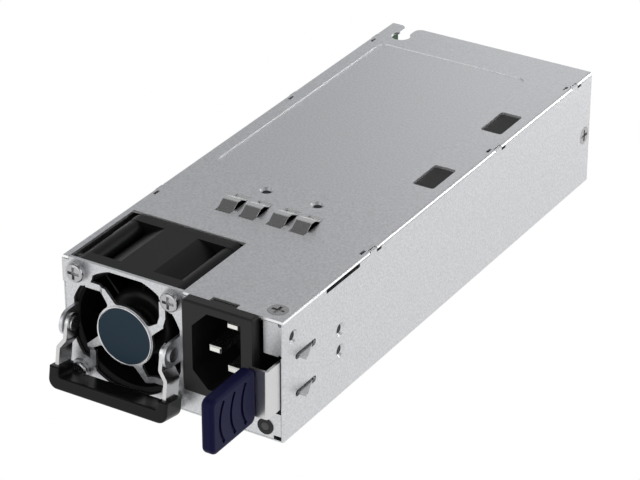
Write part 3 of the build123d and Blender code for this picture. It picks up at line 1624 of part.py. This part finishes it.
# The leads of the inlet and of the fan, down to the board
terminal_end = front + inlet_body_depth + pin_terminal
with BuildPart() as inlet_leads:
    for dx, dz, landing in (
        (pin_offset, pin_pitch / 2, (23.0, board_front + 3.5)),
        (pin_offset, -pin_pitch / 2, (16.5, board_front + 1.5)),
        (-pin_offset, 0, (9.5, board_front + 2.5)),
    ):
        start = (inlet_x + dx, terminal_end + 0.05, inlet_z + dz)
        with BuildLine() as run:
            FilletPolyline(
                start,
                (start[0], start[1] + 6.0, start[2]),
                (landing[0], front + landing[1], board_top + 3.0),
                (landing[0], front + landing[1], board_top + 0.02),
                radius=1.5,
            )
        with BuildSketch(Plane(origin=start, z_dir=(0, 1, 0))):
            Circle(lead_radius)
        sweep(path=run.line)
inlet_leads.part.label = "inlet_leads"
export_step(inlet_leads.part, "parts/inlet_leads.step")

with BuildPart() as fan_leads:
    for n in range(2):
        start = (fan_x - 8.0 + 2.0 * n, fan_rear + 0.05, 6.5)
        with BuildLine() as run:
            FilletPolyline(
                start,
                (start[0], start[1] + 4.0, start[2] + 2.0),
                (start[0], front + board_front + 4.0, board_top + 4.0),
                (start[0], front + board_front + 4.0, board_top + 0.02),
                radius=1.2,
            )
        with BuildSketch(Plane(origin=start, z_dir=(0, 4, 2))):
            Circle(fan_lead_radius)
        sweep(path=run.line)
fan_leads.part.label = "fan_leads"
export_step(fan_leads.part, "parts/fan_leads.step")
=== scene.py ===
import math

import bpy
from mathutils import Matrix, Vector

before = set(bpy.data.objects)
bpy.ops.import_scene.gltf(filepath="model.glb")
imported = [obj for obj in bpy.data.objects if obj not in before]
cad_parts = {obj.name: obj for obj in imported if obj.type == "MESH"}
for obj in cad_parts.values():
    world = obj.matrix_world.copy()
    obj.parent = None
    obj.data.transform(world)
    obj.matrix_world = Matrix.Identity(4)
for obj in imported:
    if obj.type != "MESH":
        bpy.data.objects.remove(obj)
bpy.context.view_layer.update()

bl_info = {
    "name": "Hot swap power supply",
    "version": (1, 0, 0),
    "blender": (4, 5, 0),
    "location": "View3D > Sidebar > Power supply",
    "description": "Dresses the power supply's CAD frame and stages its product picture",
    "category": "Object",
}


# The studio's brightness against the sine of the height angle, and its faint tint
SKY = ((0.0, 0.95), (0.25, 0.85), (0.42, 0.62), (0.52, 0.42), (0.75, 0.18), (1.0, 0.12))
SKY_TINT = (1.0, 1.01, 1.025)

# The floor's size and its drop under the case, in metres, and its grey in the light it throws back
FLOOR_SIZE = 6.0
FLOOR_DROP = 0.0002
FLOOR_GREY = 0.7

# Height of the point that the camera and the lamps face, about half way up the case
AIM_HEIGHT = 0.02

# The camera's sensor in millimetres, and the nearest that it sees in metres
SENSOR_WIDTH = 36.0
CLIP_START = 0.05

# Scale of the speckles on the case's sheet, on other metal and on moulded plastic
SHEET_GRAIN = 1600.0
METAL_GRAIN = 2500.0
MOULD_GRAIN = 1600.0

# Most of a noise texture's values lie between these two
NOISE_LOW = 0.25
NOISE_HIGH = 0.75

# Share by which a metal's roughness varies from speckle to speckle
ROUGHNESS_SPREAD = 0.15

# Strength and depth of the spark-eroded texture
MOULD_RELIEF = 0.04
MOULD_DEPTH = 0.0002


def colour(name, description, default):
    """A linear colour property with the usual limits."""
    return bpy.props.FloatVectorProperty(
        name=name, description=description, default=default, subtype="COLOR", size=3, min=0, max=1
    )


def lamp_power(name, place, default):
    """The power of one of the stage's lamps."""
    return bpy.props.FloatProperty(
        name=name, description=f"Power of the lamp {place}", default=default, unit="POWER"
    )


class PsuColours(bpy.types.PropertyGroup):
    sheet_metal: colour("Sheet metal", "Zinc-coated sheet of the case", (0.600, 0.607, 0.622))
    # Painted highlight: near white on the cover's upright faces and on the springs' rear slopes,
    # standing in for the light that they catch
    painted_highlight: colour("Painted highlight", "Cover's cut edges and the springs' rear slopes", (0.95, 0.95, 0.95))
    strip_steel: colour("Strip steel", "Bail of the handle", (0.60, 0.60, 0.60))
    spring_steel: colour("Spring steel", "Ground springs", (0.54, 0.54, 0.54))
    bright_steel: colour("Bright steel", "Handle rivets and the badge's rim", (0.72, 0.72, 0.73))
    latch_steel: colour("Latch steel", "Latch leaf, its teeth and its flange", (0.62, 0.62, 0.62))
    screw_steel: colour("Screw steel", "Screws of the fan and of the boards", (0.44, 0.44, 0.45))
    flush_steel: colour("Flush screw steel", "Countersunk screws of the cover", (0.42, 0.42, 0.42))
    # Painted shade: the sunk rivets are near black, standing in for the shade in their hollows
    rivet_painted_shade: colour("Rivet painted shade", "Sunk rivets of the case", (0.02, 0.02, 0.02))
    pin_metal: colour("Pins", "Tin-plated inlet pins", (0.80, 0.79, 0.76))
    fan_plastic: colour("Fan plastic", "Fan frame and rotor", (0.006, 0.006, 0.0065))
    inlet_plastic: colour("Inlet plastic", "Inlet housing and lamp ring", (0.012, 0.012, 0.012))
    grip_plastic: colour("Grip plastic", "Handle grip", (0.009, 0.009, 0.009))
    tab_plastic: colour("Tab plastic", "Release tab", (0.007, 0.007, 0.040))
    badge: colour("Badge", "Round disc on the grille", (0.022, 0.042, 0.062))
    lens: colour("Lamp lens", "Diffuser of the status lamp", (0.085, 0.085, 0.083))
    film: colour("Film", "Insulating sheet under the cover", (0.010, 0.010, 0.010))
    laminate: colour("Board", "Green solder mask", (0.006, 0.085, 0.018))
    copper: colour("Copper", "Enamelled windings", (0.62, 0.27, 0.12))


class PsuStage(bpy.types.PropertyGroup):
    azimuth: bpy.props.FloatProperty(
        name="Azimuth",
        description="Camera's turn to the right of the front",
        default=math.radians(31.42),
        subtype="ANGLE",
    )
    elevation: bpy.props.FloatProperty(
        name="Elevation",
        description="Camera's height angle",
        default=math.radians(28.63),
        subtype="ANGLE",
    )
    distance: bpy.props.FloatProperty(
        name="Distance",
        description="From the camera to the middle of the case",
        default=0.8649,
        unit="LENGTH",
    )
    shift_right: bpy.props.FloatProperty(
        name="Shift right", description="Camera's move across", default=-0.0069, unit="LENGTH"
    )
    shift_up: bpy.props.FloatProperty(
        name="Shift up", description="Camera's move up", default=-0.00802, unit="LENGTH"
    )
    lens: bpy.props.FloatProperty(
        name="Lens", description="Focal length in millimetres", default=160.71, unit="CAMERA"
    )
    key_power: lamp_power("Key lamp", "on the right", 1.6)
    fill_power: lamp_power("Fill lamp", "in front", 4.0)
    top_power: lamp_power("Top lamp", "above", 1.5)
    edge_power: lamp_power("Edge lamp", "behind on the right", 0.9)
    side_power: lamp_power("Side lamp", "low off the rear right corner", 0.24)
    rear_power: lamp_power("Rear lamp", "behind", 0.21)


def new_material(name):
    """A node material, its node tree and its surface shader."""
    made = bpy.data.materials.new(name)
    made.use_nodes = True
    return made, made.node_tree, made.node_tree.nodes["Principled BSDF"]


def object_noise(tree, scale, detail):
    """A noise texture in the object's own coordinates."""
    place = tree.nodes.new("ShaderNodeTexCoord")
    noise = tree.nodes.new("ShaderNodeTexNoise")
    noise.inputs["Scale"].default_value = scale
    noise.inputs["Detail"].default_value = detail
    tree.links.new(place.outputs["Object"], noise.inputs["Vector"])
    return noise


def between(tree, noise, low, high):
    """Spread a noise texture's values from low to high."""
    span = tree.nodes.new("ShaderNodeMapRange")
    span.inputs["From Min"].default_value = NOISE_LOW
    span.inputs["From Max"].default_value = NOISE_HIGH
    span.inputs["To Min"].default_value = low
    span.inputs["To Max"].default_value = high
    tree.links.new(noise.outputs["Fac"], span.inputs["Value"])
    return span.outputs["Result"]


def speckled_metal(name, tone, roughness, speckle, grain=METAL_GRAIN, metallic=1.0):
    """Satin metal with fine speckles in its tone and its roughness."""
    made, tree, shader = new_material(name)
    shader.inputs["Metallic"].default_value = metallic
    noise = object_noise(tree, grain, detail=3.0)
    scaled = tree.nodes.new("ShaderNodeVectorMath")
    scaled.operation = "SCALE"
    scaled.inputs[0].default_value = tone
    tree.links.new(between(tree, noise, 1 - speckle, 1 + speckle), scaled.inputs["Scale"])
    tree.links.new(scaled.outputs["Vector"], shader.inputs["Base Color"])
    low = roughness * (1 - ROUGHNESS_SPREAD)
    high = roughness * (1 + ROUGHNESS_SPREAD)
    tree.links.new(between(tree, noise, low, high), shader.inputs["Roughness"])
    return made


def paint_highlight_faces(made, tone, direction, low, high):
    """Paint a highlight, a plain bright tone, on some of a metal's faces, in place of the light that
    they catch.

    They are the faces whose normal's part along the direction lies from low to high.
    """
    tree = made.node_tree
    shader = tree.nodes["Principled BSDF"]
    place = tree.nodes.new("ShaderNodeTexCoord")
    along = tree.nodes.new("ShaderNodeVectorMath")
    along.operation = "DOT_PRODUCT"
    along.inputs[1].default_value = direction
    tree.links.new(place.outputs["Normal"], along.inputs[0])
    # Mask of the faces that get the painted highlight
    inside = tree.nodes.new("ShaderNodeMath")
    inside.operation = "COMPARE"
    inside.inputs[1].default_value = (low + high) / 2
    inside.inputs[2].default_value = (high - low) / 2
    tree.links.new(along.outputs["Value"], inside.inputs[0])
    mix = tree.nodes.new("ShaderNodeMixRGB")
    mix.inputs["Color2"].default_value = (*tone, 1)
    tree.links.new(inside.outputs["Value"], mix.inputs["Fac"])
    tree.links.new(shader.inputs["Base Color"].links[0].from_socket, mix.inputs["Color1"])
    tree.links.new(mix.outputs["Color"], shader.inputs["Base Color"])


def moulded_plastic(name, tone, roughness, shine=0.3):
    """Moulded plastic with a fine spark-eroded texture."""
    made, tree, shader = new_material(name)
    shader.inputs["Base Color"].default_value = (*tone, 1)
    shader.inputs["Roughness"].default_value = roughness
    shader.inputs["Specular IOR Level"].default_value = shine
    noise = object_noise(tree, MOULD_GRAIN, detail=2.0)
    bump = tree.nodes.new("ShaderNodeBump")
    bump.inputs["Strength"].default_value = MOULD_RELIEF
    bump.inputs["Distance"].default_value = MOULD_DEPTH
    tree.links.new(noise.outputs["Fac"], bump.inputs["Height"])
    tree.links.new(bump.outputs["Normal"], shader.inputs["Normal"])
    return made


def dress(material, *nodes):
    """Give CAD nodes a material."""
    for node in nodes:
        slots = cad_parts[node].data.materials
        slots.clear()
        slots.append(material)


def split_rays(tree, output, direct, other, rays):
    """Show one shader to the named kinds of rays, and another to all the rest."""
    path = tree.nodes.new("ShaderNodeLightPath")
    chosen = path.outputs[rays[0]]
    for ray in rays[1:]:
        either = tree.nodes.new("ShaderNodeMath")
        either.operation = "MAXIMUM"
        tree.links.new(chosen, either.inputs[0])
        tree.links.new(path.outputs[ray], either.inputs[1])
        chosen = either.outputs["Value"]
    mix = tree.nodes.new("ShaderNodeMixShader")
    tree.links.new(chosen, mix.inputs["Fac"])
    tree.links.new(other, mix.inputs[1])
    tree.links.new(direct, mix.inputs[2])
    tree.links.new(mix.outputs["Shader"], output.inputs["Surface"])


class PSU_OT_dress_case(bpy.types.Operator):
    """Finish the sheet metal, the steel parts and the insulating sheet"""

    bl_idname = "psu.dress_case"
    bl_label = "Dress the case"

    def execute(self, context):
        tones = context.scene.psu_colours
        sheet = speckled_metal(
            "sheet_metal", tones.sheet_metal, roughness=0.40, speckle=0.18, grain=SHEET_GRAIN
        )
        dress(sheet, "base_chassis", "front_grille", "rear_panel", "corner_bracket")

        # The cover's cut edges and the walls of its shallow recess stand upright, and get a
        # near-white painted highlight in place of the light that they catch
        cover = speckled_metal(
            "cover_metal_and_highlight", tones.sheet_metal, roughness=0.40, speckle=0.16, grain=SHEET_GRAIN
        )
        paint_highlight_faces(cover, tones.painted_highlight, direction=(0, 0, 1), low=-0.5, high=0.5)
        dress(cover, "top_cover")

        # Behind its crest each ground spring slopes down to the rear, and that slope gets a
        # near-white painted highlight in place of the bright light that it catches from behind
        springs = speckled_metal("spring_steel", tones.spring_steel, roughness=0.24, speckle=0.04)
        paint_highlight_faces(springs, tones.painted_highlight, direction=(0, 1, 0), low=0.15, high=0.85)
        dress(springs, "ground_fingers")

        metals = (
            ("strip_steel", tones.strip_steel, 0.22, 0.04, ("handle_bail",)),
            ("latch_steel", tones.latch_steel, 0.32, 0.02, ("latch_spring", "latch_pad")),
            ("bright_steel", tones.bright_steel, 0.24, 0.03,
             ("handle_rivets", "badge_rim", "fuse_clips", "fan_shaft", "fan_bearings")),
            ("screw_steel", tones.screw_steel, 0.26, 0.04, ("fan_screws", "board_screws")),
            ("flush_steel", tones.flush_steel, 0.30, 0.03, ("cover_screws",)),
            # Near-black rivets: painted shade for the hollows that they sit in
            ("rivet_painted_shade", tones.rivet_painted_shade, 0.30, 0.04,
             ("finger_rivets", "bracket_rivets", "latch_rivets")),
        )
        for name, tone, roughness, speckle, nodes in metals:
            dress(speckled_metal(name, tone, roughness, speckle), *nodes)
        dress(moulded_plastic("film", tones.film, roughness=0.55), "insulating_sheet")
        return {"FINISHED"}


class PSU_OT_dress_front(bpy.types.Operator):
    """Finish the inlet, handle grip, latch tab, badge and lamp"""

    bl_idname = "psu.dress_front"
    bl_label = "Dress the front"

    def execute(self, context):
        tones = context.scene.psu_colours
        plastics = (
            ("inlet_plastic", tones.inlet_plastic, 0.42, 0.26, ("inlet_housing", "lamp_ring")),
            ("grip_plastic", tones.grip_plastic, 0.26, 0.16, ("handle_grip",)),
            ("tab_plastic", tones.tab_plastic, 0.40, 0.06, ("latch_tab",)),
            ("badge", tones.badge, 0.35, 0.10, ("badge_disc",)),
            ("lamp_lens", tones.lens, 0.25, 0.30, ("lamp_lens",)),
        )
        for name, tone, roughness, shine, nodes in plastics:
            dress(moulded_plastic(name, tone, roughness, shine), *nodes)
        pins = speckled_metal("pin_metal", tones.pin_metal, roughness=0.25, speckle=0.02)
        dress(pins, "inlet_pins")
        return {"FINISHED"}


class PSU_OT_dress_fan(bpy.types.Operator):
    """Finish the fan's frame, rotor and motor"""

    bl_idname = "psu.dress_fan"
    bl_label = "Dress the fan"

    def execute(self, context):
        tones = context.scene.psu_colours
        fan = moulded_plastic("fan_plastic", tones.fan_plastic, roughness=0.38, shine=0.16)
        dress(fan, "fan_frame", "fan_rotor")
        core = speckled_metal("stator_steel", (0.38, 0.38, 0.39), roughness=0.4, speckle=0.05)
        dress(core, "fan_stator_core")
        magnet = speckled_metal(
            "magnet", (0.05, 0.05, 0.05), roughness=0.5, speckle=0.05, metallic=0.5
        )
        dress(magnet, "fan_magnet")
        coils = speckled_metal("fan_copper", tones.copper, roughness=0.35, speckle=0.05)
        dress(coils, "fan_coils")
        return {"FINISHED"}


class PSU_OT_dress_inside(bpy.types.Operator):
    """Finish the boards and the components inside the case"""

    bl_idname = "psu.dress_inside"
    bl_label = "Dress the inside"

    def execute(self, context):
        tones = context.scene.psu_colours
        plastics = (
            ("board_laminate", tones.laminate, 0.35, ("main_board", "control_card")),
            ("chip_black", (0.02, 0.02, 0.021), 0.5,
             ("bridge_rectifier", "power_transistors", "output_rectifiers", "control_chips")),
            ("winding_tape", (0.60, 0.45, 0.06), 0.35, ("transformer_winding",)),
            ("film_capacitor", (0.55, 0.44, 0.10), 0.45, ("x_capacitors",)),
            ("ceramic", (0.05, 0.16, 0.38), 0.4, ("y_capacitors",)),
            ("relay_case", (0.03, 0.09, 0.30), 0.4, ("relay",)),
            ("fuse_ceramic", (0.78, 0.76, 0.70), 0.4, ("fuse",)),
            ("capacitor_sleeve", (0.015, 0.016, 0.022), 0.3,
             ("bulk_capacitor", "output_capacitors")),
            ("powder_core", (0.50, 0.42, 0.08), 0.5, ("boost_choke_core", "output_choke_core")),
            ("ferrite", (0.045, 0.045, 0.048), 0.6, ("filter_choke_core", "transformer_core")),
            ("lead_red", (0.35, 0.02, 0.02), 0.4, ("fan_leads",)),
            ("lead_brown", (0.14, 0.06, 0.03), 0.4, ("inlet_leads",)),
        )
        for name, tone, roughness, nodes in plastics:
            dress(moulded_plastic(name, tone, roughness), *nodes)
        metals = (
            ("heatsink", (0.62, 0.63, 0.64), 0.4,
             ("rectifier_heatsink", "transistor_heatsink", "output_heatsink")),
            ("copper", tones.copper, 0.35,
             ("filter_choke_windings", "boost_choke_winding", "output_choke_winding")),
            ("contact_gold", (0.83, 0.61, 0.22), 0.25, ("edge_contacts",)),
            ("standoff_brass", (0.65, 0.50, 0.25), 0.3, ("board_standoffs",)),
        )
        for name, tone, roughness, nodes in metals:
            dress(speckled_metal(name, tone, roughness, speckle=0.05), *nodes)
        return {"FINISHED"}


class PSU_OT_set_stage(bpy.types.Operator):
    """Set the white floor, the lamps, the world and the camera"""

    bl_idname = "psu.set_stage"
    bl_label = "Set the stage"

    def white_floor(self):
        """A floor that looks plain white, and throws back the soft light of a grey one."""
        bpy.ops.mesh.primitive_plane_add(size=FLOOR_SIZE, location=(0, 0, -FLOOR_DROP))
        floor = bpy.context.object
        floor.name = "floor"
        made = bpy.data.materials.new("floor")
        made.use_nodes = True
        tree = made.node_tree
        tree.nodes.clear()
        output = tree.nodes.new("ShaderNodeOutputMaterial")
        grey = tree.nodes.new("ShaderNodeBsdfDiffuse")
        grey.inputs["Color"].default_value = (FLOOR_GREY, FLOOR_GREY, FLOOR_GREY, 1)
        white = tree.nodes.new("ShaderNodeEmission")
        white.inputs["Color"].default_value = (1, 1, 1, 1)
        split_rays(
            tree, output, white.outputs["Emission"], grey.outputs["BSDF"],
            ("Is Camera Ray", "Is Glossy Ray"),
        )
        floor.data.materials.append(made)

    def white_world(self, scene):
        """A world that looks white, and lights the object most from near the horizon."""
        world = bpy.data.worlds.new("studio")
        scene.world = world
        world.use_nodes = True
        tree = world.node_tree
        tree.nodes.clear()
        output = tree.nodes.new("ShaderNodeOutputWorld")
        white = tree.nodes.new("ShaderNodeBackground")
        white.inputs["Color"].default_value = (1, 1, 1, 1)
        place = tree.nodes.new("ShaderNodeTexCoord")
        height = tree.nodes.new("ShaderNodeSeparateXYZ")
        ramp = tree.nodes.new("ShaderNodeValToRGB")
        stops = ramp.color_ramp.elements
        stops.remove(stops[1])
        for position, _ in SKY[1:]:
            stops.new(position)
        for stop, (_, level) in zip(stops, SKY):
            stop.color = (*(level * tint for tint in SKY_TINT), 1)
        around = tree.nodes.new("ShaderNodeBackground")
        tree.links.new(place.outputs["Generated"], height.inputs["Vector"])
        tree.links.new(height.outputs["Z"], ramp.inputs["Fac"])
        tree.links.new(ramp.outputs["Color"], around.inputs["Color"])
        split_rays(
            tree, output, white.outputs["Background"], around.outputs["Background"],
            ("Is Camera Ray",),
        )

    def lamp(self, scene, name, power, place, size):
        """A square lamp that faces the case."""
        light = bpy.data.lights.new(name, "AREA")
        light.energy = power
        light.shape = "SQUARE"
        light.size = size
        made = bpy.data.objects.new(name, light)
        made.location = place
        made.visible_camera = False
        ahead = Vector((0, 0, AIM_HEIGHT)) - Vector(place)
        made.rotation_euler = ahead.to_track_quat("-Z", "Y").to_euler()
        scene.collection.objects.link(made)

    def camera(self, scene, stage):
        """A camera at the photograph's angle, moved across so that the case sits as it does there."""
        azimuth, elevation = stage.azimuth, stage.elevation
        back = Vector((
            math.sin(azimuth) * math.cos(elevation),
            -math.cos(azimuth) * math.cos(elevation),
            math.sin(elevation),
        ))
        right = Vector((math.cos(azimuth), math.sin(azimuth), 0))
        up = back.cross(right)
        place = Vector((0, 0, AIM_HEIGHT)) + back * stage.distance
        place += right * stage.shift_right + up * stage.shift_up
        view = bpy.data.cameras.new("camera")
        view.lens = stage.lens
        view.sensor_width = SENSOR_WIDTH
        view.clip_start = CLIP_START
        made = bpy.data.objects.new("camera", view)
        turn = Matrix((right, up, back)).transposed().to_4x4()
        made.matrix_world = Matrix.Translation(place) @ turn
        scene.collection.objects.link(made)
        scene.camera = made

    def execute(self, context):
        scene = context.scene
        stage = scene.psu_stage
        self.white_floor()
        self.white_world(scene)
        lamps = (
            ("key_lamp", stage.key_power, (0.9, -0.1, 0.35), 0.7),
            ("fill_lamp", stage.fill_power, (-0.25, -1.2, 0.60), 1.2),
            ("top_lamp", stage.top_power, (-0.2, 0.3, 1.1), 0.8),
            ("edge_lamp", stage.edge_power, (0.57, 0.90, 0.55), 0.5),
            ("side_lamp", stage.side_power, (0.19, 0.29, 0.05), 0.08),
            ("rear_lamp", stage.rear_power, (-0.10, 0.60, 0.25), 0.4),
        )
        for name, power, place, size in lamps:
            self.lamp(scene, name, power, place, size)
        self.camera(scene, stage)
        scene.view_settings.view_transform = "Standard"
        return {"FINISHED"}


operators = (
    PSU_OT_dress_case,
    PSU_OT_dress_front,
    PSU_OT_dress_fan,
    PSU_OT_dress_inside,
    PSU_OT_set_stage,
)


class PSU_PT_panel(bpy.types.Panel):
    bl_idname = "PSU_PT_panel"
    bl_label = "Power supply"
    bl_space_type = "VIEW_3D"
    bl_region_type = "UI"
    bl_category = "Power supply"

    def draw(self, context):
        for group in (context.scene.psu_colours, context.scene.psu_stage):
            for key in group.__annotations__:
                self.layout.prop(group, key)
        for operator in operators:
            self.layout.operator(operator.bl_idname)


classes = (PsuColours, PsuStage, *operators, PSU_PT_panel)


def register():
    for item in classes:
        bpy.utils.register_class(item)
    bpy.types.Scene.psu_colours = bpy.props.PointerProperty(type=PsuColours)
    bpy.types.Scene.psu_stage = bpy.props.PointerProperty(type=PsuStage)


def unregister():
    del bpy.types.Scene.psu_stage
    del bpy.types.Scene.psu_colours
    for item in reversed(classes):
        bpy.utils.unregister_class(item)


def main():
    register()
    bpy.ops.psu.dress_case()
    bpy.ops.psu.dress_front()
    bpy.ops.psu.dress_fan()
    bpy.ops.psu.dress_inside()
    bpy.ops.psu.set_stage()


if __name__ == "__main__":
    main()
